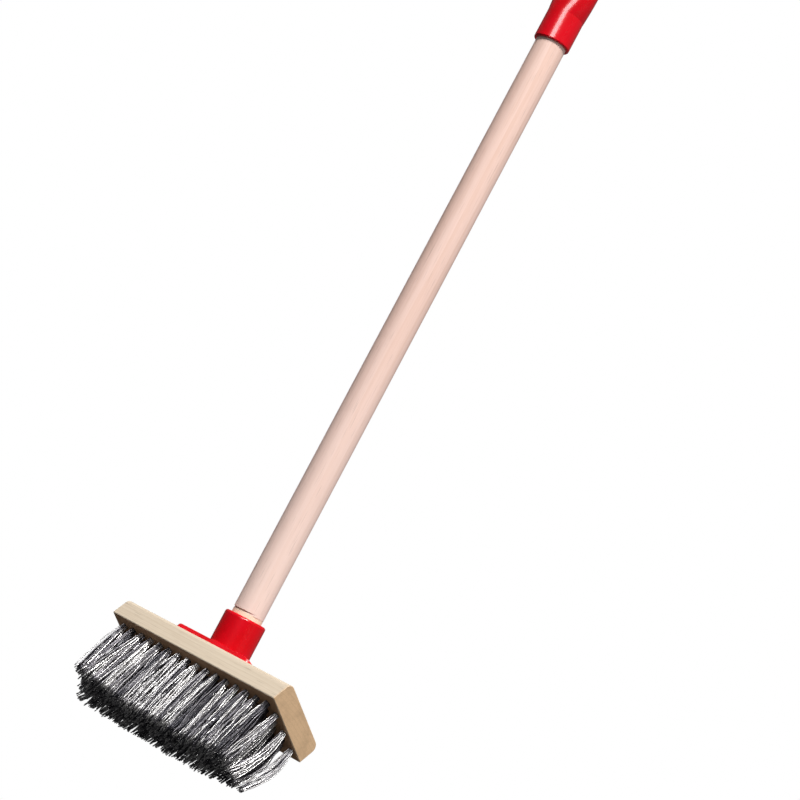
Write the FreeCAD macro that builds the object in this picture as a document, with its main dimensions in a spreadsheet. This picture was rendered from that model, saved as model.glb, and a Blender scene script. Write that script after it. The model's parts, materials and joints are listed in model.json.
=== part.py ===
import FreeCAD, Part
import os
import Sketcher
from FreeCAD import Placement, Rotation, Vector

# Pool wall brush, in millimetres: a wooden block with six staggered rows of stiff bristle tufts,
# and a round wooden pole that leans out of a plastic socket on the block's back.
#
# Frame: the origin is the middle of the working face, the plane of the bristle tips. X runs along
# the block, Y across it and Z away from the bristles. The pole leans towards -Y.

DIMENSIONS = [
    # brush block
    ("block_length", 225, "along X"),
    ("block_width", 69, "along Y"),
    ("block_height", 20, "along Z"),
    ("back_radius", 6, "rounding of the two long edges on the back"),
    ("edge_break", 0.6, "bevel on the sawn edges"),
    # tufts
    ("bristle_length", 60, "block underside to bristle tips"),
    ("tuft_pitch", 13.3, "between the tufts of a row"),
    ("row_pitch", 9.5, "between rows"),
    ("long_row_count", 17, "tufts in rows 2, 4 and 6"),
    ("short_row_count", 16, "tufts in rows 1, 3 and 5"),
    ("hole_diameter", 5.5, "tuft hole"),
    ("hole_depth", 12, "tuft hole"),
    ("root_diameter", 5.3, "folded root of a tuft"),
    ("root_height", 11.4, "folded root of a tuft"),
    ("root_fold", 1.1, "rounding of a folded root's top"),
    ("neck_diameter", 4.8, "free tuft at its hinge line"),
    ("neck_bevel", 1.7, "cone above the hinge line, which clears the block when the row bends"),
    ("tip_diameter", 9.8, "free tuft at its tips, where it has fanned out"),
    ("hinge_drop", 2.6, "hinge line of a row below the block"),
    ("neck_gap", 0.2, "free tuft to block"),
    # wire anchors that hold the folded roots
    ("anchor_length", 6.3, "along X, so that both ends bite into the wood"),
    ("anchor_thickness", 0.4, "along Y"),
    ("anchor_height", 2, "along Z"),
    ("anchor_rise", 7.5, "block underside to the anchor's lower edge"),
    ("anchor_gap", 0.05, "all round the anchor"),
    # handle socket
    ("socket_shift", -3.325, "socket and pole off the block's middle, along X, a quarter tuft pitch"),
    ("plate_length", 102, "along X"),
    ("plate_width", 56, "along Y"),
    ("plate_thickness", 5.5, "along Z"),
    ("plate_corner", 8, "corner radius in plan"),
    ("plate_rim", 1, "rounding of the plate's upper edge"),
    ("lean_angle", 31, "pole axis from +Z towards -Y, degrees"),
    ("axis_offset", 1.1, "where the pole axis crosses the block's back, along Y"),
    ("barrel_diameter", 37.3, "outside"),
    ("barrel_reach", 47.9, "block's back to the barrel's rim, along the pole axis"),
    ("barrel_sink", 14, "start of the barrel below the block's back, before trimming"),
    ("barrel_root", 1.8, "fillet between barrel and plate"),
    ("barrel_rim", 2.2, "rounding of the barrel's outer rim"),
    ("socket_floor", 12, "block's back to the floor of the bore, along the pole axis"),
    ("bore_chamfer", 0.5, "mouth of the bore"),
    # screws
    ("screw_x", 33.25, "screws from the pole axis, 2.5 tuft pitches, so they pass between the holes"),
    ("screw_y", 19, "screws from the middle, 2 row pitches"),
    ("screw_shank", 3.4, "diameter"),
    ("screw_head", 7.1, "diameter"),
    ("screw_length", 20, "overall"),
    ("screw_point", 5, "length of the tapered point"),
    ("screw_gap", 0.05, "pilot hole to shank"),
    ("pilot_extra", 0.5, "pilot hole beyond the screw's point"),
    ("plate_hole", 3.9, "diameter"),
    ("countersink", 1.8, "width of the countersink, at 45 degrees"),
    ("head_recess", 0.1, "screw head below the plate's face"),
    ("cross_length", 4.2, "driver recess"),
    ("cross_width", 1, "driver recess"),
    ("cross_depth", 1.6, "driver recess"),
    # pole
    ("pole_diameter", 28, "above the shoulder"),
    ("spigot_diameter", 27.4, "turned end in the socket"),
    ("spigot_gap", 0.05, "spigot to bore, radial"),
    ("spigot_clear", 0.3, "spigot's end to the floor of the bore"),
    ("shoulder_rise", 3.8, "barrel's rim to the pole's shoulder"),
    ("shoulder_shift", 0.25, "pole off the spigot's centre, so the shoulder shows mostly on one side"),
    ("kerf_height", 1.5, "slot where the turning tool bit into the shoulder, along the pole"),
    ("kerf_diameter", 29.3, "wood left inside the slot"),
    ("kerf_shift", 1.65, "centre of that wood from the spigot's, away from the slot"),
    ("kerf_reach", 40, "diameter of the cut"),
    ("pole_showing", 562.5, "barrel's rim to the grip"),
    ("end_bevel", 1.5, "pole ends"),
    # grip
    ("grip_diameter", 33.5, "straight lower part"),
    ("grip_length", 100, "overall"),
    ("grip_straight", 28, "straight lower part"),
    ("grip_flare", 72, "rim to the widest section"),
    ("grip_wide", 43, "widest section, along X"),
    ("grip_deep", 27, "widest section, front to back"),
    ("grip_top_wide", 35, "top section, along X"),
    ("grip_top_deep", 20, "top section, front to back"),
    ("grip_round", 4, "rounding of the top"),
    ("grip_rim", 1.4, "rounding of the lower rim"),
    ("grip_bore_depth", 60, "from the rim"),
    ("grip_gap", 0.05, "grip to pole, radial"),
    ("hang_hole_diameter", 12, "through the grip, front to back"),
    ("hang_hole_height", 82, "rim to the hole's centre"),
    ("hang_hole_round", 1, "rounding of the hole's edges"),
]

BLOCK_BACK = "Sheet.bristle_length + Sheet.block_height"
LEAN = "Sheet.lean_angle * 1 deg"
LONG_RUN = "(Sheet.long_row_count - 1) * Sheet.tuft_pitch"
SHORT_RUN = "(Sheet.short_row_count - 1) * Sheet.tuft_pitch"
ROWS = 6
X_AXIS = Vector(1, 0, 0)
TOUCH = 1e-3

doc = FreeCAD.newDocument("PoolWallBrush")


def make_sheet():
    """Driving dimensions: name, value and note in one row of the sheet each."""
    sheet = doc.addObject("Spreadsheet::Sheet", "Sheet")
    for number, (alias, value, note) in enumerate(DIMENSIONS, start=1):
        sheet.set(f"A{number}", alias)
        sheet.set(f"B{number}", str(value))
        sheet.set(f"C{number}", note)
        sheet.setAlias(f"B{number}", alias)
    doc.recompute()
    return sheet


def make_body(label):
    body = doc.addObject("PartDesign::Body", label)
    body.Label = label
    body.AllowCompound = True
    return body


def place(body, x="0", y="0", z="0", lean=False):
    """Put a body at x, y, z, each an expression, and lean it over if it follows the pole."""
    if lean:
        body.Placement = Placement(Vector(0, 0, 0), Rotation(X_AXIS, 1))
        body.setExpression("Placement.Rotation.Angle", LEAN)
    for axis, expression in zip("xyz", (x, y, z)):
        body.setExpression(f"Placement.Base.{axis}", expression)


def make_sketch(body, name, role="XY_Plane", y="0", z="0", lean=False):
    """Sketch on one of the body's own origin planes, raised or leant by expressions."""
    plane = [item for item in body.Origin.OriginFeatures if item.Role == role][0]
    sketch = body.newObject("Sketcher::SketchObject", name)
    sketch.AttachmentSupport = (plane, [""])
    sketch.MapMode = "FlatFace"
    if lean:
        sketch.AttachmentOffset = Placement(Vector(0, 0, 0), Rotation(X_AXIS, 1))
        sketch.setExpression("AttachmentOffset.Rotation.Angle", LEAN)
    sketch.setExpression("AttachmentOffset.Base.y", y)
    sketch.setExpression("AttachmentOffset.Base.z", z)
    return sketch


def bind(sketch, constraint, name, expression):
    """Add a dimension to a sketch and drive it from the sheet."""
    sketch.renameConstraint(sketch.addConstraint(constraint), name)
    sketch.setExpression(f"Constraints.{name}", expression)


def bind_point(sketch, geometry, vertex, name, x, y):
    """Dimension a point from the sketch's origin."""
    for kind, expression in (("DistanceX", x), ("DistanceY", y)):
        value = float(sketch.evalExpression(expression))
        constraint = Sketcher.Constraint(kind, -1, 1, geometry, vertex, value)
        bind(sketch, constraint, f"{name}_{kind[-1].lower()}", expression)


def add_polygon(sketch, corners):
    """Closed outline through corners, each a pair of expressions."""
    points = [Vector(*(float(sketch.evalExpression(part)) for part in corner), 0) for corner in corners]
    lines = []
    for start, end in zip(points, points[1:] + points[:1]):
        lines.append(sketch.addGeometry(Part.LineSegment(start, end)))
    for line, following in zip(lines, lines[1:] + lines[:1]):
        sketch.addConstraint(Sketcher.Constraint("Coincident", line, 2, following, 1))
    for line, (x, y) in zip(lines, corners):
        bind_point(sketch, line, 1, f"corner{line}", x, y)


def add_rectangle(sketch, width, height, x="0", y="0"):
    """Rectangle with its middle at x, y."""
    left, right = f"{x} - ({width}) / 2", f"{x} + ({width}) / 2"
    low, high = f"{y} - ({height}) / 2", f"{y} + ({height}) / 2"
    add_polygon(sketch, [(left, low), (right, low), (right, high), (left, high)])


def add_circle(sketch, diameter, x="0", y="0"):
    size = float(sketch.evalExpression(diameter))
    centre = Vector(float(sketch.evalExpression(x)), float(sketch.evalExpression(y)), 0)
    circle = sketch.addGeometry(Part.Circle(centre, Vector(0, 0, 1), size / 2))
    bind_point(sketch, circle, 3, f"centre{circle}", x, y)
    bind(sketch, Sketcher.Constraint("Diameter", circle, size), f"diameter{circle}", diameter)


def add_ellipse(sketch, width, height):
    """Ellipse about the sketch's origin, wider than it is high."""
    half_width = float(sketch.evalExpression(width)) / 2
    half_height = float(sketch.evalExpression(height)) / 2
    ends = Vector(half_width, 0, 0), Vector(0, half_height, 0)
    ellipse = sketch.addGeometry(Part.Ellipse(*ends, Vector(0, 0, 0)))
    sketch.exposeInternalGeometry(ellipse)
    major, minor = ellipse + 1, ellipse + 2
    sketch.addConstraint(Sketcher.Constraint("Coincident", ellipse, 3, -1, 1))
    sketch.addConstraint(Sketcher.Constraint("Horizontal", major))
    bind(sketch, Sketcher.Constraint("Distance", major, 2 * half_width), "width", width)
    bind(sketch, Sketcher.Constraint("Distance", minor, 2 * half_height), "height", height)


def pad(body, sketch, length):
    feature = body.newObject("PartDesign::Pad", f"{sketch.Name}Pad")
    feature.Profile = sketch
    feature.setExpression("Length", length)
    sketch.Visibility = False
    doc.recompute()
    return feature


def pocket(body, sketch, depth, upwards=False, both_ways=False):
    """Cut a sketch into the body and make sure that it took material away."""
    before = body.Shape.Volume
    feature = body.newObject("PartDesign::Pocket", f"{sketch.Name}Pocket")
    feature.Profile = sketch
    feature.Reversed = upwards
    feature.Midplane = both_ways
    feature.setExpression("Length", depth)
    sketch.Visibility = False
    doc.recompute()
    if body.Shape.Volume > before - TOUCH:
        raise RuntimeError(f"{feature.Label} cuts nothing")
    return feature


def revolve(body, sketch):
    """Full turn about the sketch's upright axis."""
    feature = body.newObject("PartDesign::Revolution", f"{sketch.Name}Turn")
    feature.Profile = sketch
    feature.ReferenceAxis = (sketch, ["V_Axis"])
    feature.Angle = 360
    sketch.Visibility = False
    doc.recompute()
    return feature


def repeat(body, features, sketch, along, count, across=None, rows=1):
    """Repeat features along the sketch's X, and across its Y when a grid is wanted."""
    pattern = body.newObject("PartDesign::LinearPattern", f"{sketch.Name}Pattern")
    pattern.Originals = features
    pattern.Direction = (sketch, ["H_Axis"])
    pattern.setExpression("Length", along)
    pattern.setExpression("Occurrences", count)
    if across:
        pattern.Direction2 = (sketch, ["V_Axis"])
        pattern.setExpression("Length2", across)
        pattern.Occurrences2 = rows
    body.Tip = pattern
    doc.recompute()
    return pattern


def dress(body, kind, edges, size):
    """Fillet or Chamfer the edges of the body's last feature that edges(edge) picks."""
    base = body.Tip
    names = [f"Edge{n}" for n, edge in enumerate(base.Shape.Edges, start=1) if edges(edge)]
    if not names:
        raise RuntimeError(f"{body.Label}: no edge for a {kind}")
    feature = body.newObject(f"PartDesign::{kind}", f"{base.Name}{kind}")
    feature.Base = (base, names)
    feature.setExpression("Radius" if kind == "Fillet" else "Size", size)
    doc.recompute()
    if "Invalid" in feature.State:
        raise RuntimeError(f"{feature.Label} failed")
    return feature


def runs_along(edge, axis):
    """True for a straight edge parallel to axis."""
    is_line = isinstance(edge.Curve, Part.Line)
    return is_line and abs(abs(edge.tangentAt(edge.FirstParameter).dot(axis)) - 1) < TOUCH


def at_height(edge, height):
    """True for an edge that lies wholly at one height."""
    return abs(edge.BoundBox.ZMin - height) < TOUCH and abs(edge.BoundBox.ZMax - height) < TOUCH


def is_circle(edge, radius):
    return isinstance(edge.Curve, Part.Circle) and abs(edge.Curve.Radius - radius) < TOUCH


def make_block(sheet):
    """Wooden block: rounded back, tuft holes with anchor slots below, pilot holes above."""
    body = make_body("brush_block")
    outline = make_sketch(body, "BlockOutline")
    add_rectangle(outline, "Sheet.block_length", "Sheet.block_width")
    pad(body, outline, "Sheet.block_height")

    def on_back(edge):
        return runs_along(edge, X_AXIS) and at_height(edge, sheet.block_height)
    dress(body, "Fillet", on_back, "Sheet.back_radius")

    def sawn(edge):
        low = at_height(edge, 0)
        end = abs(abs(edge.CenterOfMass.x) - sheet.block_length / 2) < TOUCH
        return low or end
    dress(body, "Chamfer", sawn, "Sheet.edge_break")

    for name, count, run, row in (("Short", "Sheet.short_row_count", SHORT_RUN, "-2.5"),
                                  ("Long", "Sheet.long_row_count", LONG_RUN, "-1.5")):
        first = {"x": f"-({run}) / 2", "y": f"{row} * Sheet.row_pitch"}
        bore = make_sketch(body, f"{name}RowHole")
        add_circle(bore, "Sheet.hole_diameter", **first)
        hole = pocket(body, bore, "Sheet.hole_depth", upwards=True)
        cut = make_sketch(body, f"{name}RowSlot")
        add_rectangle(cut, "Sheet.anchor_length + 2 * Sheet.anchor_gap",
                      "Sheet.anchor_thickness + 2 * Sheet.anchor_gap", **first)
        slot_depth = "Sheet.anchor_rise + Sheet.anchor_height + Sheet.anchor_gap"
        slot = pocket(body, cut, slot_depth, upwards=True)
        repeat(body, [hole, slot], bore, run, count, across="4 * Sheet.row_pitch", rows=ROWS // 2)

    pilot = make_sketch(body, "PilotHole", z="Sheet.block_height")
    add_circle(pilot, "Sheet.screw_shank + 2 * Sheet.screw_gap",
               "Sheet.socket_shift - Sheet.screw_x", "-Sheet.screw_y")
    drilled = pocket(body, pilot, "Sheet.screw_length - Sheet.plate_thickness + Sheet.pilot_extra")
    repeat(body, [drilled], pilot, "2 * Sheet.screw_x", "2", across="2 * Sheet.screw_y", rows=2)
    place(body, z="Sheet.bristle_length")


def row_place(number):
    """Count, run and Y position of one row, as expressions."""
    longer = number % 2 == 0
    count = "Sheet.long_row_count" if longer else "Sheet.short_row_count"
    run = LONG_RUN if longer else SHORT_RUN
    return count, run, f"({number} - ({ROWS} + 1) / 2) * Sheet.row_pitch"


def make_bristles(number):
    """Free part of one row: each tuft a cone that fans out from its bevelled neck to the tips."""
    count, run, y = row_place(number)
    body = make_body(f"bristles_row_{number}")
    profile = make_sketch(body, f"Tuft{number}", "XZ_Plane")
    add_polygon(profile, [
        ("0", "-Sheet.neck_gap"),
        ("Sheet.neck_bevel", "-Sheet.hinge_drop + Sheet.neck_bevel"),
        ("Sheet.neck_diameter / 2", "-Sheet.hinge_drop"),
        ("Sheet.tip_diameter / 2", "-Sheet.bristle_length"),
        ("0", "-Sheet.bristle_length"),
    ])
    tuft = revolve(body, profile)
    repeat(body, [tuft], profile, run, count)
    place(body, f"-({run}) / 2", y, "Sheet.bristle_length")


def make_roots(number):
    """Folded roots of one row, each with the space that its wire anchor takes."""
    count, run, y = row_place(number)
    body = make_body(f"tuft_roots_row_{number}")
    bundle = make_sketch(body, f"Root{number}")
    add_circle(bundle, "Sheet.root_diameter")
    root = pad(body, bundle, "Sheet.root_height")

    def fold(edge):
        return at_height(edge, root.Length.Value)
    folded = dress(body, "Fillet", fold, "Sheet.root_fold")
    seat = make_sketch(body, f"RootSlot{number}", z="Sheet.anchor_rise - Sheet.anchor_gap")
    add_rectangle(seat, "2 * Sheet.root_diameter", "Sheet.anchor_thickness + 2 * Sheet.anchor_gap")
    slot = pocket(body, seat, "Sheet.anchor_height + 2 * Sheet.anchor_gap", upwards=True)
    repeat(body, [root, folded, slot], bundle, run, count)
    place(body, f"-({run}) / 2", y, "Sheet.bristle_length")


def make_anchors(number):
    """Flat wire anchors of one row."""
    count, run, y = row_place(number)
    body = make_body(f"tuft_anchors_row_{number}")
    wire = make_sketch(body, f"Anchor{number}", z="Sheet.anchor_rise")
    add_rectangle(wire, "Sheet.anchor_length", "Sheet.anchor_thickness")
    anchor = pad(body, wire, "Sheet.anchor_height")
    repeat(body, [anchor], wire, run, count)
    place(body, f"-({run}) / 2", y, "Sheet.bristle_length")


def make_socket(sheet):
    """Plastic socket: screwed plate with a leaning barrel, trimmed flat where it meets the block."""
    body = make_body("handle_socket")
    tube = make_sketch(body, "Barrel", lean=True,
                       y=f"Sheet.axis_offset + Sheet.barrel_sink * sin({LEAN})",
                       z=f"-Sheet.barrel_sink * cos({LEAN})")
    add_circle(tube, "Sheet.barrel_diameter")
    pad(body, tube, "Sheet.barrel_reach + Sheet.barrel_sink")
    waste = make_sketch(body, "BarrelTrim")
    add_rectangle(waste, "3 * Sheet.barrel_diameter", "3 * Sheet.barrel_diameter")
    pocket(body, waste, "2 * Sheet.barrel_diameter")

    plate = make_sketch(body, "Plate")
    add_rectangle(plate, "Sheet.plate_length", "Sheet.plate_width")
    pad(body, plate, "Sheet.plate_thickness")
    corners = sheet.plate_length / 2, sheet.plate_width / 2

    def plan_corner(edge):
        spot = abs(edge.CenterOfMass.x), abs(edge.CenterOfMass.y)
        return runs_along(edge, Vector(0, 0, 1)) and max(abs(spot[0] - corners[0]),
                                                         abs(spot[1] - corners[1])) < TOUCH
    dress(body, "Fillet", plan_corner, "Sheet.plate_corner")

    def round_barrel(edge):
        return at_height(edge, sheet.plate_thickness) and isinstance(edge.Curve, Part.Ellipse)
    dress(body, "Fillet", round_barrel, "Sheet.barrel_root")

    def plate_top(edge):
        return at_height(edge, sheet.plate_thickness) and isinstance(edge.Curve, (Part.Line, Part.Circle))
    dress(body, "Fillet", plate_top, "Sheet.plate_rim")

    mouth = make_sketch(body, "Bore", lean=True,
                        y=f"Sheet.axis_offset - Sheet.barrel_reach * sin({LEAN})",
                        z=f"Sheet.barrel_reach * cos({LEAN})")
    add_circle(mouth, "Sheet.spigot_diameter + 2 * Sheet.spigot_gap")
    pocket(body, mouth, "Sheet.barrel_reach - Sheet.socket_floor")
    rim_height = mouth.AttachmentOffset.Base.z

    def outer_rim(edge):
        return is_circle(edge, sheet.barrel_diameter / 2) and edge.CenterOfMass.z > rim_height - TOUCH
    dress(body, "Fillet", outer_rim, "Sheet.barrel_rim")
    bore_radius = sheet.spigot_diameter / 2 + sheet.spigot_gap

    def inner_rim(edge):
        return is_circle(edge, bore_radius) and edge.CenterOfMass.z > rim_height - TOUCH
    dress(body, "Chamfer", inner_rim, "Sheet.bore_chamfer")

    screw = make_sketch(body, "PlateHole")
    add_circle(screw, "Sheet.plate_hole", "-Sheet.screw_x", "-Sheet.screw_y")
    hole = pocket(body, screw, "Sheet.plate_thickness", upwards=True)
    repeat(body, [hole], screw, "2 * Sheet.screw_x", "2", across="2 * Sheet.screw_y", rows=2)

    def hole_top(edge):
        return is_circle(edge, sheet.plate_hole / 2) and at_height(edge, sheet.plate_thickness)
    dress(body, "Chamfer", hole_top, "Sheet.countersink")
    place(body, "Sheet.socket_shift", z=BLOCK_BACK)


def make_screws():
    """Four countersunk wood screws with cross recesses."""
    body = make_body("socket_screws")
    profile = make_sketch(body, "Screw", "XZ_Plane")
    head_depth = "(Sheet.screw_head - Sheet.screw_shank) / 2"
    add_polygon(profile, [
        ("0", "0"),
        ("Sheet.screw_head / 2", "0"),
        ("Sheet.screw_shank / 2", f"-{head_depth}"),
        ("Sheet.screw_shank / 2", "Sheet.screw_point - Sheet.screw_length"),
        ("0", "-Sheet.screw_length"),
    ])
    shank = revolve(body, profile)
    recess = make_sketch(body, "ScrewCross")
    arm, half = "Sheet.cross_length / 2", "Sheet.cross_width / 2"
    quarter = [(arm, f"-{half}"), (arm, half), (half, half)]
    corners = []
    for turn in range(4):
        corners += quarter
        quarter = [(f"-({y})", x) for x, y in quarter]
    add_polygon(recess, corners)
    cross = pocket(body, recess, "Sheet.cross_depth")
    repeat(body, [shank, cross], recess, "2 * Sheet.screw_x", "2", across="2 * Sheet.screw_y", rows=2)
    top = f"{BLOCK_BACK} + Sheet.plate_thickness - Sheet.head_recess"
    place(body, "Sheet.socket_shift - Sheet.screw_x", "-Sheet.screw_y", top)


def make_pole():
    """Wooden pole: turned spigot, then the full diameter a little off its centre, with a slot between."""
    body = make_body("handle_pole")
    start = "Sheet.socket_floor + Sheet.spigot_clear"
    shoulder = "Sheet.barrel_reach + Sheet.shoulder_rise"
    top = "Sheet.barrel_reach + Sheet.pole_showing + Sheet.grip_bore_depth - Sheet.spigot_clear"
    spigot = make_sketch(body, "Spigot", z=start)
    add_circle(spigot, "Sheet.spigot_diameter")
    pad(body, spigot, f"{shoulder} - ({start})")
    shaft = make_sketch(body, "Shaft", z=shoulder)
    add_circle(shaft, "Sheet.pole_diameter", y="-Sheet.shoulder_shift")
    pad(body, shaft, f"{top} - ({shoulder})")
    kerf = make_sketch(body, "Kerf", z=shoulder)
    add_circle(kerf, "Sheet.kerf_reach")
    add_circle(kerf, "Sheet.kerf_diameter", y="Sheet.kerf_shift")
    pocket(body, kerf, "Sheet.kerf_height", upwards=True)
    ends = [float(body.evalExpression(height)) for height in (start, top)]

    def end_edge(edge):
        return any(at_height(edge, height) for height in ends)
    dress(body, "Chamfer", end_edge, "Sheet.end_bevel")
    place(body, "Sheet.socket_shift", "Sheet.axis_offset", BLOCK_BACK, lean=True)


def make_grip(sheet):
    """Plastic cap: straight where it sleeves the pole, flaring into a flattened top with a hang hole."""
    body = make_body("handle_grip")
    ring = make_sketch(body, "GripRing")
    add_circle(ring, "Sheet.grip_diameter")
    pad(body, ring, "Sheet.grip_straight")
    round_end = make_sketch(body, "GripFlare", z="Sheet.grip_straight")
    add_circle(round_end, "Sheet.grip_diameter")
    sections = [round_end]
    for name, height, width, depth in (
            ("GripWide", "Sheet.grip_flare", "Sheet.grip_wide", "Sheet.grip_deep"),
            ("GripTop", "Sheet.grip_length", "Sheet.grip_top_wide", "Sheet.grip_top_deep")):
        section = make_sketch(body, name, z=height)
        add_ellipse(section, width, depth)
        sections.append(section)
    doc.recompute()
    loft = body.newObject("PartDesign::AdditiveLoft", "GripLoft")
    loft.Profile = sections[0]
    loft.Sections = sections[1:]
    doc.recompute()

    def crown(edge):
        return at_height(edge, sheet.grip_length)
    dress(body, "Fillet", crown, "Sheet.grip_round")

    def lower_rim(edge):
        return at_height(edge, 0)
    dress(body, "Fillet", lower_rim, "Sheet.grip_rim")

    bore = make_sketch(body, "GripBore")
    add_circle(bore, "Sheet.pole_diameter + 2 * Sheet.grip_gap")
    pocket(body, bore, "Sheet.grip_bore_depth", upwards=True)
    eye = make_sketch(body, "HangHole", "XZ_Plane")
    add_circle(eye, "Sheet.hang_hole_diameter", "0", "Sheet.hang_hole_height")
    pocket(body, eye, "2 * Sheet.grip_diameter", both_ways=True)

    def hole_edge(edge):
        spots = [Vector(p.x, 0, p.z - sheet.hang_hole_height).Length for p in edge.discretize(4)]
        on_wall = all(abs(spot - sheet.hang_hole_diameter / 2) < TOUCH for spot in spots)
        return on_wall and not isinstance(edge.Curve, Part.Line)
    dress(body, "Fillet", hole_edge, "Sheet.hang_hole_round")

    rise = "(Sheet.barrel_reach + Sheet.pole_showing)"
    place(body, "Sheet.socket_shift",
          f"Sheet.axis_offset - {rise} * sin({LEAN}) - Sheet.shoulder_shift * cos({LEAN})",
          f"{BLOCK_BACK} + {rise} * cos({LEAN}) - Sheet.shoulder_shift * sin({LEAN})", lean=True)


def export_all():
    """Check every object and write each body's shape to a file of its own."""
    doc.recompute()
    for item in doc.Objects:
        if "Invalid" in item.State or "Error" in item.State:
            raise RuntimeError(f"{item.Label} failed: {item.State}")
    os.makedirs("parts", exist_ok=True)
    for body in doc.findObjects("PartDesign::Body"):
        shape = body.Shape
        if shape.isNull() or not shape.isValid() or not shape.Solids:
            raise RuntimeError(f"{body.Label} has no valid solid")
        shape.exportStep(f"parts/{body.Label}.step")
        print(body.Label, len(shape.Solids), "solids", round(shape.Volume), "mm3")


def main():
    sheet = make_sheet()
    make_block(sheet)
    for number in range(1, ROWS + 1):
        make_roots(number)
        make_anchors(number)
        make_bristles(number)
    make_socket(sheet)
    make_screws()
    make_pole()
    make_grip(sheet)
    export_all()


main()
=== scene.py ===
"""Looks of the pool wall brush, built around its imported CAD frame."""

import json
import math
from collections import namedtuple

import bpy
import numpy as np
from mathutils import Matrix, Vector


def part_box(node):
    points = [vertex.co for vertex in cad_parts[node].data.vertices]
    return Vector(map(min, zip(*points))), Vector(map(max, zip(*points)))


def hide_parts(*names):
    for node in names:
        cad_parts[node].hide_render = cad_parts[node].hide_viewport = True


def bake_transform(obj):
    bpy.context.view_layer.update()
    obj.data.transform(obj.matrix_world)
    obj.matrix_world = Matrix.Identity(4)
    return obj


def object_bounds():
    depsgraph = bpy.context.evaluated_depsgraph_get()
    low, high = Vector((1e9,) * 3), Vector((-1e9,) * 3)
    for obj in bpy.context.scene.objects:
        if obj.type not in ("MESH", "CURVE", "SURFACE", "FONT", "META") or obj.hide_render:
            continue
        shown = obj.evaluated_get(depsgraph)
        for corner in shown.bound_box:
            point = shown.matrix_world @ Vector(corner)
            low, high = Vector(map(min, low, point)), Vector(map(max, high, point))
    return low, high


MM = 0.001
X_AXIS = Vector((1, 0, 0))

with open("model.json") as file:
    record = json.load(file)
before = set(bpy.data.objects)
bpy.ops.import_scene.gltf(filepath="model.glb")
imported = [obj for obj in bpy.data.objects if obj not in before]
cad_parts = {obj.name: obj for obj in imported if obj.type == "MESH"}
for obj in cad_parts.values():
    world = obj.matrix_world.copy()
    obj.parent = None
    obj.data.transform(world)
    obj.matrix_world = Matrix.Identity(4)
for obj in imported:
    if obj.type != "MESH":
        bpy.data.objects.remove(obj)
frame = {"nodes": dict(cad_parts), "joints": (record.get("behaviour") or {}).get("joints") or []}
CAD_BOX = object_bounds()
JOINTS = {joint["name"]: joint for joint in frame["joints"]}
POLE_AXIS = Vector(JOINTS["handle_pull"]["axis"]).normalized()
ROWS = sum(name.startswith("bristle_bend_") for name in JOINTS)


# ---------------------------------------------------------------- node helpers

class Nodes:
    """A node tree with short names for the nodes that the recipes below use."""

    def __init__(self, tree):
        self.tree = tree

    def node(self, kind, **values):
        made = self.tree.nodes.new(kind)
        for key, value in values.items():
            setattr(made, key, value)
        return made

    def feed(self, socket, value):
        """Connect a socket to another node's output, or give it a plain value."""
        if isinstance(value, bpy.types.NodeSocket):
            self.tree.links.new(value, socket)
        elif isinstance(value, (tuple, list)) and len(value) == 3 and socket.type == "RGBA":
            socket.default_value = (*value, 1)
        else:
            socket.default_value = value

    def maths(self, operation, first, second=0.0, clamp=False):
        made = self.node("ShaderNodeMath", operation=operation, use_clamp=clamp)
        self.feed(made.inputs[0], first)
        self.feed(made.inputs[1], second)
        return made.outputs[0]

    def parts(self, vector):
        """The X, Y and Z of a vector."""
        made = self.node("ShaderNodeSeparateXYZ")
        self.feed(made.inputs[0], vector)
        return made.outputs


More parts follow.
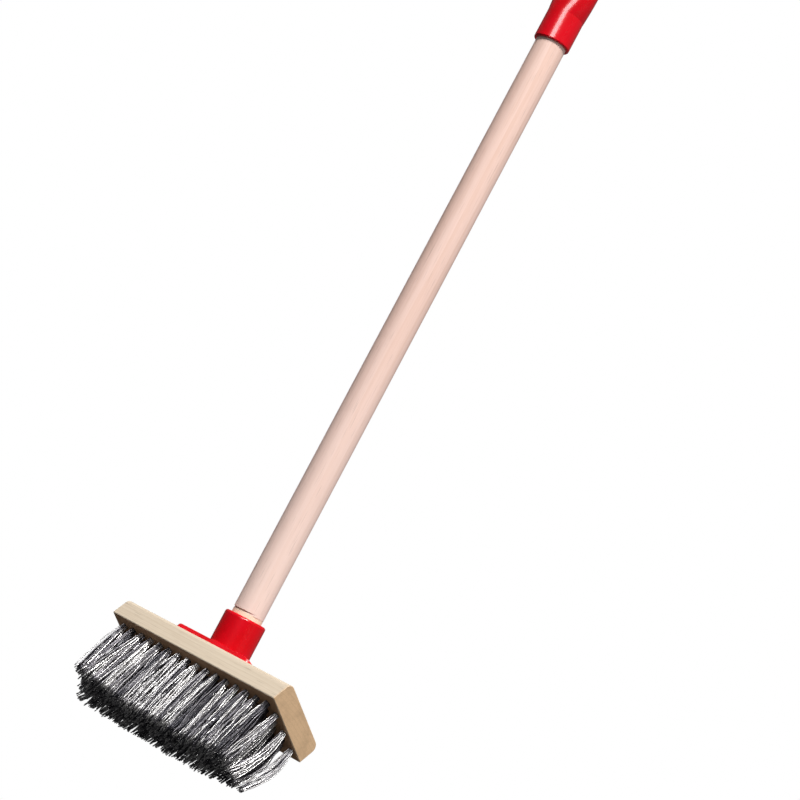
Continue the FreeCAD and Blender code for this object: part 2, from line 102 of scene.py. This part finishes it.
class Shader(Nodes):
    """A material's node tree. Its textures live in metres, so their scales are cells per metre."""

    def __init__(self, name):
        self.material = bpy.data.materials.new(name)
        self.material.use_nodes = True
        super().__init__(self.material.node_tree)
        self.surface = self.tree.nodes["Principled BSDF"]
        self.place = self.node("ShaderNodeTexCoord").outputs["Object"]
        self.geometry = self.node("ShaderNodeNewGeometry").outputs

    def mapped(self, source, scale=(1, 1, 1), rotation=(0, 0, 0), shift=(0, 0, 0)):
        """Coordinates scaled, then turned, then shifted."""
        mapping = self.node("ShaderNodeMapping")
        mapping.inputs["Scale"].default_value = scale
        mapping.inputs["Rotation"].default_value = rotation
        mapping.inputs["Location"].default_value = shift
        self.feed(mapping.inputs["Vector"], source)
        return mapping.outputs[0]

    def noise(self, where, scale, detail=4.0, roughness=0.55, distortion=0.0):
        """Cloudy noise. Its scale is one number, or one for each axis."""
        if isinstance(scale, tuple):
            where = self.mapped(where, scale=scale)
            scale = 1.0
        made = self.node("ShaderNodeTexNoise")
        self.feed(made.inputs["Vector"], where)
        made.inputs["Scale"].default_value = scale
        made.inputs["Detail"].default_value = detail
        made.inputs["Roughness"].default_value = roughness
        made.inputs["Distortion"].default_value = distortion
        return made.outputs["Fac"]

    def ramp(self, value, stops):
        """Colour ramp through (position, grey or colour) stops."""
        made = self.node("ShaderNodeValToRGB")
        elements = made.color_ramp.elements
        for position, _ in stops[2:]:
            elements.new(position)
        for element, (position, colour) in zip(elements, stops):
            element.position = position
            grey = (colour,) * 3 if isinstance(colour, (int, float)) else colour
            element.color = (*grey, 1)
        self.feed(made.inputs["Fac"], value)
        return made.outputs["Color"]

    def mix(self, share, first, second, kind="MIX"):
        made = self.node("ShaderNodeMix", data_type="RGBA", blend_type=kind)
        self.feed(made.inputs["Factor"], share)
        self.feed(made.inputs["A"], first)
        self.feed(made.inputs["B"], second)
        return made.outputs["Result"]

    def weigh(self, first, second, shares):
        """Sum of two values, each times its share."""
        return self.maths("ADD", self.maths("MULTIPLY", first, shares[0]),
                          self.maths("MULTIPLY", second, shares[1]))

    def bump(self, height, strength, distance):
        made = self.node("ShaderNodeBump")
        made.inputs["Strength"].default_value = strength
        made.inputs["Distance"].default_value = distance
        self.feed(made.inputs["Height"], height)
        self.feed(self.surface.inputs["Normal"], made.outputs[0])

    def finish(self, **inputs):
        for key, value in inputs.items():
            self.feed(self.surface.inputs[key.replace("_", " ")], value)
        return self.material


def times(colour, share):
    return [share * value for value in colour]


def dress_node(name, material):
    """Give a carried-over CAD node its finish."""
    slots = frame["nodes"][name].data.materials
    slots.clear()
    slots.append(material)


def make_object(name, vertices, faces, material):
    mesh = bpy.data.meshes.new(name)
    mesh.from_pydata(vertices, [], faces)
    made = bpy.data.objects.new(name, mesh)
    made.data.materials.append(material)
    bpy.context.scene.collection.objects.link(made)
    return made


# ------------------------------------------------------------------------ wood

FRESH_WOOD = (0.95, 0.77, 0.56)
# Painted light on the pole above its shoulder: its paler colour, and the reach over which it fades.
PAINTED_LIGHT_WOOD = (0.92, 0.74, 0.68)
PAINTED_LIGHT_REACH = 300 * MM
# Painted shade: the brown that faces looking down are multiplied by.
UNDERSIDE_SHADE_TINT = (0.95, 0.66, 0.47)
# Painted shade in crevices: its darkest colour, and how far the occlusion looks for them.
CREVICE_SHADE = (0.10, 0.07, 0.05)
CREVICE = 2.5 * MM
RING_WANDER = 12 * MM


def year_rings(s, along, pith, rings_per_metre):
    """Rises from 0 to 1 across each year ring, about a wavering line through pith."""
    centred = s.mapped(along, shift=(0, -pith[0], -pith[1]))
    wander = s.noise(centred, (2.5, 14, 14), detail=2)
    parts = s.parts(centred)
    square = s.maths("ADD", s.maths("MULTIPLY", parts["Y"], parts["Y"]),
                     s.maths("MULTIPLY", parts["Z"], parts["Z"]))
    radius = s.maths("ADD", s.maths("SQRT", square), s.maths("MULTIPLY", wander, RING_WANDER))
    return s.maths("FRACT", s.maths("MULTIPLY", radius, rings_per_metre))


def side_grain(s, along, ring, fibre, light, dark):
    """Colour of a face that runs with the fibres: rings, fibres and cloudy patches."""
    rings = s.ramp(ring, [(0.0, 0.0), (0.62, 0.25), (0.93, 1.0), (1.0, 0.0)])
    patch = s.noise(along, (5, 26, 26), detail=3)
    colour = s.mix(s.maths("MULTIPLY", rings, 0.38), light, dark)
    colour = s.mix(s.ramp(fibre, [(0.42, 0.0), (0.75, 0.5)]), colour, dark)
    return s.mix(s.ramp(patch, [(0.35, 0.0), (0.75, 0.22)]), colour, dark)


def fresh_turned_and_lit(s, along, colour, fresh):
    """Creamy below the height fresh, where the wood is freshly turned. Above it, painted light makes
    the wood paler than the rest, fading out over a set reach.
    """
    height = s.parts(along)["X"]
    # Painted light: paler just above the shoulder, fading out upwards.
    painted_light = s.ramp(height, [(fresh, 0.55), (fresh + PAINTED_LIGHT_REACH, 0.0)])
    colour = s.mix(painted_light, colour, PAINTED_LIGHT_WOOD)
    turned = s.maths("LESS_THAN", height, fresh)
    return s.mix(s.maths("MULTIPLY", turned, 0.75), colour, FRESH_WOOD)


def end_grain(s, ring, end):
    """Colour of a sawn end: rings, open pores and blotches."""
    rings = s.ramp(ring, [(0.0, 0.1), (0.7, 0.3), (0.92, 0.8), (1.0, 0.1)])
    pores = s.noise(s.place, 1400.0, detail=2)
    blotch = s.noise(s.place, 95.0, detail=4)
    colour = s.mix(s.maths("MULTIPLY", rings, 0.35), end, times(end, 0.62))
    colour = s.mix(s.ramp(pores, [(0.5, 0.0), (0.8, 0.4)]), colour, times(end, 0.5))
    return s.mix(s.ramp(blotch, [(0.45, 0.0), (0.75, 0.6)]), colour, times(end, 0.6))


def paint_shade_below(s, colour):
    """Painted shade: browner and darker where the face looks down, and darker in its crevices."""
    # Painted shade on faces that look down.
    downward = s.maths("MULTIPLY", s.parts(s.geometry["Normal"])["Z"], -1)
    down = s.ramp(downward, [(0.75, 0.0), (0.95, 1.0)])
    colour = s.mix(down, colour, s.mix(1.0, colour, UNDERSIDE_SHADE_TINT, kind="MULTIPLY"))
    # Painted shade: ambient occlusion darkens crevices, where shade falls.
    crevice = s.node("ShaderNodeAmbientOcclusion", samples=8)
    crevice.inputs["Distance"].default_value = CREVICE
    painted_crevice_shade = s.ramp(crevice.outputs["AO"], [(0.2, CREVICE_SHADE), (0.7, (1, 1, 1))])
    return s.mix(1.0, colour, painted_crevice_shade, kind="MULTIPLY")


def wood(name, light, dark, end, grain, rings_per_metre, pith, fleck, fresh=None, shade_below=False):
    """Raw wood that grows along the axis grain, with end grain where a face cuts across it."""
    s = Shader(name)
    along = s.mapped(s.place, rotation=grain.rotation_difference(X_AXIS).to_euler())
    ring = year_rings(s, along, pith, rings_per_metre)
    fibre = s.noise(along, (14, 900, 900), detail=6, roughness=0.65)
    fine = s.noise(along, (60, 2600, 2600), detail=3)
    colour = side_grain(s, along, ring, fibre, light, dark)
    # Freshly turned wood below the shoulder, with painted light above it.
    if fresh is not None:
        colour = fresh_turned_and_lit(s, along, colour, fresh)
    pores = s.noise(along, (40, 1500, 1500), detail=1)
    colour = s.mix(s.ramp(pores, [(0.66, 0.0), (0.74, fleck)]), colour, times(dark, 0.45))
    facing = s.node("ShaderNodeVectorMath", operation="DOT_PRODUCT")
    s.feed(facing.inputs[0], s.geometry["Normal"])
    facing.inputs[1].default_value = grain
    across = s.ramp(s.maths("ABSOLUTE", facing.outputs["Value"]), [(0.35, 0.0), (0.9, 1.0)])
    colour = s.mix(across, colour, end_grain(s, ring, end))
    # Painted shade on the underside and in the crevices.
    if shade_below:
        colour = paint_shade_below(s, colour)
    s.bump(s.weigh(fibre, fine, (0.7, 0.3)), 0.35, 0.25 * MM)
    return s.finish(Base_Color=colour, Roughness=s.ramp(fibre, [(0.3, 0.58), (0.8, 0.74)]),
                    Specular_IOR_Level=0.3)


# ----------------------------------------------------------- plastic and steel

def red_plastic(name):
    """Glossy moulded plastic: deep red, faint flow marks, orange peel and fine scuffs."""
    s = Shader(name)
    flow = s.noise(s.mapped(s.place, scale=(1, 1, 0.35)), 38.0, detail=2, distortion=0.6)
    colour = s.mix(s.ramp(flow, [(0.35, 0.0), (0.7, 1.0)]),
                   (0.60, 0.0008, 0.004), (0.70, 0.0015, 0.012))
    peel = s.noise(s.place, 900.0, detail=2)
    scuff = s.noise(s.place, (900, 70, 260), detail=5, roughness=0.7)
    rough = s.mix(s.ramp(scuff, [(0.60, 0.0), (0.72, 1.0)]), (0.22,) * 3, (0.34,) * 3)
    s.bump(s.weigh(peel, flow, (0.6, 1.5)), 0.10, 0.15 * MM)
    return s.finish(Base_Color=colour, Roughness=rough, Specular_IOR_Level=0.4,
                    Coat_Weight=0.12, Coat_Roughness=0.12)


def bristle_plastic(name):
    """Stiff round strands of black plastic. Their silvery shine in the light is painted sheen in the
    base
    colour: each strand and clump gets its own brightness from near black to silver, with painted
    glints."""
    s = Shader(name)
    # Painted sheen: each strand's brightness comes from its strand attribute, with painted glints
    # streaked along it.
    strand = s.node("ShaderNodeAttribute", attribute_name="strand").outputs["Fac"]
    sheen_streak = s.noise(s.place, (1800, 1800, 160), detail=3)
    sheen_tone = s.weigh(strand, sheen_streak, (0.65, 0.35))
    # Painted sheen: the base colour runs from near black to silver, standing in for highlights.
    colour = s.ramp(sheen_tone, [(0.28, (0.02, 0.02, 0.03)), (0.48, (0.22, 0.21, 0.235)),
                           (0.66, (0.73, 0.72, 0.72))])
    s.bump(sheen_streak, 0.3, 0.06 * MM)
    return s.finish(Base_Color=colour, Metallic=0.6, Specular_IOR_Level=1.0,
                    Roughness=s.ramp(sheen_tone, [(0.2, 0.38), (0.8, 0.24)]))


def steel(name, tint, rough):
    """Plated wire or screw: brushed, with a few dull patches."""
    s = Shader(name)
    brushed = s.noise(s.place, (700, 700, 3200), detail=4)
    dull = s.noise(s.place, 260.0, detail=3)
    colour = s.mix(s.ramp(dull, [(0.4, 0.0), (0.75, 0.6)]), tint, times(tint, 0.55))
    s.bump(brushed, 0.2, 0.05 * MM)
    return s.finish(Base_Color=colour, Metallic=1.0,
                    Roughness=s.ramp(brushed, [(0.3, rough), (0.75, rough + 0.18)]))


# --------------------------------------------------------------------- bristles

SEED = 20
SHORT_ROW = 16
LONG_ROW = 17
STRAND_RADIUS = 0.45 * MM
STRAND_SIDES = 6
STRAND_PITCH = 1.06 * MM
BUNDLE_RADIUS = 2.3 * MM
BUNDLE_LINES = 3
BUNDLE_COLUMNS = range(-3, 4)
ANCHOR_CLEARANCE = 0.68 * MM
CREST_RISE = 0.55
TIP_SPREAD = 6.6 * MM
LENGTH_SPREAD = 1.6 * MM
TUFT_LEAN = 0.012
STRAY = 1.3 * MM
WILD_SHARE = 0.05
WILD_STRAY = 2.2
CURVE = 0.9 * MM
WAVE = 0.34 * MM
LOOP_STEPS = 3
FREE_STEPS = 13
CLUMPS = 6
# Painted sheen: how far a clump's shared brightness lifts or lowers its strands.
CLUMP_SHEEN = 0.25

# Where a row stands, and the heights of its strands' tips, of the block's underside, and of
# where the strands start to fold over the wire anchor and where the lowest fold ends.
Row = namedtuple("Row", "y tips mouth shoulder crest")
# How use has bent a tuft: its lean and bow in X and Y, the length that it lost, and how wide it
# fans out to the left, right, near and far side.
Habit = namedtuple("Habit", "lean bow lost fan")


def tube(points):
    """Vertices and faces of one round strand through points, with flat cut ends."""
    tangents = np.gradient(points, axis=0)
    tangents /= np.linalg.norm(tangents, axis=1)[:, None]
    side = np.cross(tangents[0], (0.3, 0.9, 0.1))
    turns = np.arange(STRAND_SIDES) * 2 * math.pi / STRAND_SIDES
    rings = []
    for point, tangent in zip(points, tangents):
        side = side - tangent * side.dot(tangent)
        side /= np.linalg.norm(side)
        up = np.cross(tangent, side)
        circle = np.outer(np.cos(turns), side) + np.outer(np.sin(turns), up)
        rings.append(point + STRAND_RADIUS * circle)
    faces = []
    for ring in range(len(points) - 1):
        low, high = ring * STRAND_SIDES, (ring + 1) * STRAND_SIDES
        for n in range(STRAND_SIDES):
            m = (n + 1) % STRAND_SIDES
            faces.append((low + n, low + m, high + m, high + n))
    last = (len(points) - 1) * STRAND_SIDES
    faces.append(tuple(range(STRAND_SIDES - 1, -1, -1)))
    faces.append(tuple(last + n for n in range(STRAND_SIDES)))
    return np.concatenate(rings), faces


def bundle_places():
    """Where the strands of one half of a folded tuft cross the block's underside."""
    places = []
    for line in range(BUNDLE_LINES):
        y = ANCHOR_CLEARANCE + line * STRAND_PITCH * math.sqrt(3) / 2
        for column in BUNDLE_COLUMNS:
            x = (column + 0.5 * (line % 2)) * STRAND_PITCH
            if math.hypot(x, y) <= BUNDLE_RADIUS:
                places.append((x, y))
    return places


def clump_of(place):
    """Number of the clump that shares its painted sheen with the strand at this place in its bundle.
    """
    column = int(place[0] / STRAND_PITCH - BUNDLE_COLUMNS[0]) // 2
    return column + CLUMPS // 2 * (place[1] > BUNDLE_RADIUS / 2)


def tuft_habit(rng, out, across):
    """Habit of the tuft that stands at out and across on the block, each from -1 to 1."""
    end = abs(out) ** 7
    near, far = max(0, -across), max(0, across)
    lean, bow, lost = rng.normal(0, TUFT_LEAN, 2), np.zeros(2), 0
    # Both long sides are pressed inwards, the near one most, but hardly at its left end.
    pressed = np.interp(out, (-0.6, -0.15, 0.6, 1), (0.15, 1, 1, 0.7))
    lean[1] += 0.25 * near * pressed - 0.06 * far
    side_fan = 1.25 + 0.1 * far
    fan = np.array([side_fan, side_fan, 0.8 + 0.4 * end, 0.8 - 1.5 * far ** 3])
    if out < 0:
        # At the left end the near tufts are worn short and lean in, and the far ones splay out.
        front = max(0, 0.3 - across)
        lean[0] += end * (0.05 + 0.18 * front - 0.33 * far)
        lost += end * front * 8 * MM
        fan[0] -= 0.95 * end
    else:
        # Towards the right end all tufts are worn shorter, and the far ones bow outwards.
        far_bow = np.interp(across, (-0.4, 0.41, 0.69), (0, 7.5, 5))
        lean[0] -= end * 0.05
        bow += out ** 3 * np.array((1, far_bow)) * MM
        lost += out ** 2 * (4.5 + 3 * far) * MM
        fan[1] -= 0.75 * end
    return Habit(lean, bow, lost, fan)


def free_leg(rng, start, centre, habit, row):
    """Points of one strand from the block's underside to its tip."""
    outward = np.array(start) - np.array(centre)
    width = np.where(outward < 0, habit.fan[[0, 2]], habit.fan[[1, 3]])
    spread = outward / BUNDLE_RADIUS * TIP_SPREAD * width * rng.uniform(0.35, 1.15)
    stray = rng.normal(0, STRAY, 2)
    if rng.random() < WILD_SHARE:
        stray *= WILD_STRAY
    curve = rng.normal(0, CURVE, 2) + habit.bow
    length = row.mouth - row.tips - habit.lost - LENGTH_SPREAD * rng.beta(1.1, 3.2)
    share = np.arange(1, FREE_STEPS + 1)[:, None] / FREE_STEPS
    turns = rng.uniform(1.2, 3.2, 2) * share + rng.random(2)
    wave = rng.normal(0, WAVE, 2) * np.sin(2 * math.pi * turns)
    sideways = (start + (spread - outward) * share ** 0.72 + stray * share
                + habit.lean * length * share ** 1.2 + curve * np.sin(math.pi * share)
                + wave * np.minimum(1, 3 * share))
    return np.column_stack((sideways, row.mouth - length * share))


def folded_strand(rng, x, place, habit, row):
    """Points of one strand: from a tip up into the hole, over the anchor and down to its other tip."""
    across, out = place
    front, back = (x + across, row.y + out), (x + across, row.y - out)
    one, two = (free_leg(rng, side, (x, row.y), habit, row) for side in (front, back))
    crest = row.crest + CREST_RISE * (out - ANCHOR_CLEARANCE)
    loop = [(*front, row.mouth), (*front, row.shoulder)]
    for turn in range(1, LOOP_STEPS + 1):
        angle = math.pi * turn / (LOOP_STEPS + 1)
        loop.append((x + across, row.y + out * math.cos(angle),
                     row.shoulder + (crest - row.shoulder) * math.sin(angle)))
    loop += [(*back, row.shoulder), (*back, row.mouth)]
    return np.concatenate((one[::-1], loop, two))


def make_row(number, material):
    """One row of tufts. Its strands stay put in their holes."""
    free_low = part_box(f"bristles_row_{number}")[0]
    block_low, block_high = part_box("brush_block")
    anchor_low, anchor_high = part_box(f"tuft_anchors_row_{number}")
    roots_low, roots_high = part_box(f"tuft_roots_row_{number}")
    row = Row((roots_low.y + roots_high.y) / 2, free_low.z, block_low.z, anchor_low.z,
              anchor_high.z + STRAND_RADIUS)
    half_root = (roots_high.y - roots_low.y) / 2
    tufts = LONG_ROW if number % 2 == 0 else SHORT_ROW
    rng = np.random.default_rng(SEED + number)
    vertices, faces, sheen_tones = [], [], []
    total = 0
    for x in np.linspace(roots_low.x + half_root, roots_high.x - half_root, tufts):
        habit = tuft_habit(rng, x / block_high.x, row.y / block_high.y)
        # Painted sheen that the strands of each clump share.
        clump_sheens = rng.uniform(-CLUMP_SHEEN, CLUMP_SHEEN, CLUMPS)
        for place in bundle_places():
            points, strand_faces = tube(folded_strand(rng, x, place, habit, row))
            faces += [tuple(total + corner for corner in face) for face in strand_faces]
            vertices.append(points)
            total += len(points)
            # Painted sheen of this strand, from its own draw and its clump's.
            sheen_tone = rng.uniform(0.15, 0.85) + clump_sheens[clump_of(place)]
            sheen_tones += [min(1, max(0, sheen_tone))] * len(points)
    piece = make_object(f"bristle_strands_{number}", np.concatenate(vertices), faces, material)
    # The painted sheen goes in the strand attribute that bristle_plastic reads.
    sheen_layer = piece.data.attributes.new("strand", "FLOAT", "POINT")
    sheen_layer.data.foreach_set("value", np.array(sheen_tones, np.float32))
    piece.data.shade_smooth()
    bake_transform(piece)
    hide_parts(f"bristles_row_{number}", f"tuft_roots_row_{number}")


# ------------------------------------------------------------------------ stage

FLOOR_HALF = 2.0
FLOOR_FADE_START = 0.35
FLOOR_FADE_REACH = 0.9
FLOOR_GAP = 0.2 * MM
GLOSSY_DIMMING = 0.68
CAMERA_AZIMUTH = math.radians(55.15)
CAMERA_ELEVATION = math.radians(-28.32)
CAMERA_ROLL = math.radians(53.15)
CAMERA_DISTANCE = 1.692
CAMERA_AIM = Vector((0.0538, -0.1472, 0.2980))
CAMERA_LENS = 92.47
CAMERA_CLIP = 0.05


def floor_paint(name):
    """Pale mottled paint that fades to clear away from the middle. It is clear from below too, so
    that a low camera looks through it."""
    s = Shader(name)
    mottle = s.noise(s.place, 6.0, detail=5)
    s.finish(Base_Color=s.ramp(mottle, [(0.3, 0.80), (0.7, 0.84)]), Roughness=0.9)
    distance = s.node("ShaderNodeVectorMath", operation="LENGTH")
    s.feed(distance.inputs[0], s.place)
    beyond = s.maths("SUBTRACT", distance.outputs["Value"], FLOOR_FADE_START)
    fade = s.maths("MULTIPLY", beyond, 1 / FLOOR_FADE_REACH, clamp=True)
    clear = s.node("ShaderNodeBsdfTransparent")
    choose = s.node("ShaderNodeMixShader")
    s.feed(choose.inputs[0], s.maths("MAXIMUM", fade, s.geometry["Backfacing"]))
    s.feed(choose.inputs[1], s.surface.outputs[0])
    s.feed(choose.inputs[2], clear.outputs[0])
    s.feed(s.tree.nodes["Material Output"].inputs["Surface"], choose.outputs[0])
    return s.material


def make_floor():
    """Floor just under the bristle tips, which throws no light back on the brush."""
    half = FLOOR_HALF
    corners = [(-half, -half, 0), (half, -half, 0), (half, half, 0), (-half, half, 0)]
    floor = make_object("floor", corners, [(0, 1, 2, 3)], floor_paint("floor_paint"))
    floor.location.z = CAD_BOX[0].z - FLOOR_GAP
    floor.visible_diffuse = False
    floor.visible_glossy = False


def add_light(name, direction, distance, size, power, colour=(1, 1, 1), matt=True, shiny=True):
    """Square area light in this direction from the brush's middle, facing it. It can be left out
    of matt shading or of reflections."""
    data = bpy.data.lights.new(name, "AREA")
    data.size = size
    data.energy = power
    data.color = colour
    light = bpy.data.objects.new(name, data)
    back = Vector(direction).normalized()
    light.location = (CAD_BOX[0] + CAD_BOX[1]) / 2 + back * distance
    light.rotation_euler = (-back).to_track_quat("-Z", "Y").to_euler()
    light.visible_diffuse = matt
    light.visible_glossy = shiny
    bpy.context.scene.collection.objects.link(light)


def make_lights():
    """A soft sun from the pole's side, weak fills round it, and a sheet that only shines on gloss."""
    add_light("key", (0.50, -0.75, 0.45), distance=6.0, size=1.3, power=470,
              colour=(1.0, 0.98, 0.95))
    add_light("fill", (0.95, 0.10, 0.20), distance=4.0, size=2.4, power=26, shiny=False)
    add_light("side", (-0.85, -0.40, 0.25), distance=4.0, size=2.0, power=16, shiny=False)
    add_light("back", (-0.75, 0.60, 0.40), distance=4.0, size=2.2, power=60, shiny=False)
    add_light("sheen", (0.44, -0.89, -0.13), distance=3.0, size=1.25, power=75, matt=False)


def make_world():
    """White studio for the camera. For the light it is grey above and dark below, and reflections
    see a darker room, so that the plastic keeps its depth of colour."""
    world = bpy.data.worlds.new("studio")
    world.use_nodes = True
    bpy.context.scene.world = world
    s = Nodes(world.node_tree)
    direction = s.node("ShaderNodeTexCoord").outputs["Generated"]
    level = s.node("ShaderNodeMapRange")
    level.inputs["From Min"].default_value = -0.35
    level.inputs["From Max"].default_value = 0.6
    level.inputs["To Min"].default_value = 0.10
    level.inputs["To Max"].default_value = 0.42
    s.feed(level.inputs["Value"], s.parts(direction)["Z"])
    ray = s.node("ShaderNodeLightPath").outputs
    dimming = s.maths("MULTIPLY", ray["Is Glossy Ray"], GLOSSY_DIMMING)
    lit = s.maths("MULTIPLY", level.outputs["Result"], s.maths("SUBTRACT", 1.0, dimming))
    background = s.tree.nodes["Background"]
    s.feed(background.inputs["Strength"], s.maths("MAXIMUM", lit, ray["Is Camera Ray"]))
    s.feed(background.inputs["Color"], (1, 1, 1))


def make_camera():
    """Three-quarter view from the pole's side, a little below the block, turned until the pole
    runs up to the right."""
    back = Vector((math.sin(CAMERA_AZIMUTH) * math.cos(CAMERA_ELEVATION),
                   -math.cos(CAMERA_AZIMUTH) * math.cos(CAMERA_ELEVATION),
                   math.sin(CAMERA_ELEVATION)))
    data = bpy.data.cameras.new("camera")
    data.lens = CAMERA_LENS
    data.clip_start = CAMERA_CLIP
    camera = bpy.data.objects.new("camera", data)
    camera.location = CAMERA_AIM + back * CAMERA_DISTANCE
    level = (-back).to_track_quat("-Z", "Y").to_matrix()
    camera.rotation_euler = (level @ Matrix.Rotation(CAMERA_ROLL, 3, "Z")).to_euler()
    bpy.context.scene.collection.objects.link(camera)
    bpy.context.scene.camera = camera


# ------------------------------------------------------------------------- main

# Height of the pole's shoulder, measured along the pole from the level of the frame's origin.
SHOULDER_HEIGHT = 119.7 * MM

# The block's wood gets painted shade on its underside and in its crevices.
block_wood = wood("block_wood", light=(0.68, 0.585, 0.465), dark=(0.50, 0.40, 0.29),
                  end=(0.62, 0.42, 0.25), grain=X_AXIS, rings_per_metre=300,
                  pith=(30 * MM, -90 * MM), fleck=0.4, shade_below=True)
pole_wood = wood("pole_wood", light=(0.83, 0.605, 0.54), dark=(0.70, 0.45, 0.35),
                 end=(0.70, 0.50, 0.34), grain=POLE_AXIS, rings_per_metre=150,
                 pith=(50 * MM, 30 * MM), fleck=0.3, fresh=SHOULDER_HEIGHT)
red = red_plastic("red_plastic")
strands = bristle_plastic("bristle_strand")
dress_node("brush_block", block_wood)
dress_node("handle_pole", pole_wood)
dress_node("handle_socket", red)
dress_node("handle_grip", red)
dress_node("socket_screws", steel("screw_steel", (0.62, 0.60, 0.57), 0.24))
anchor_steel = steel("anchor_wire", (0.55, 0.55, 0.54), 0.3)
for number in range(1, ROWS + 1):
    dress_node(f"tuft_anchors_row_{number}", anchor_steel)
    make_row(number, strands)

make_floor()
make_lights()
make_world()
make_camera()
bpy.context.scene.view_settings.view_transform = "Standard"
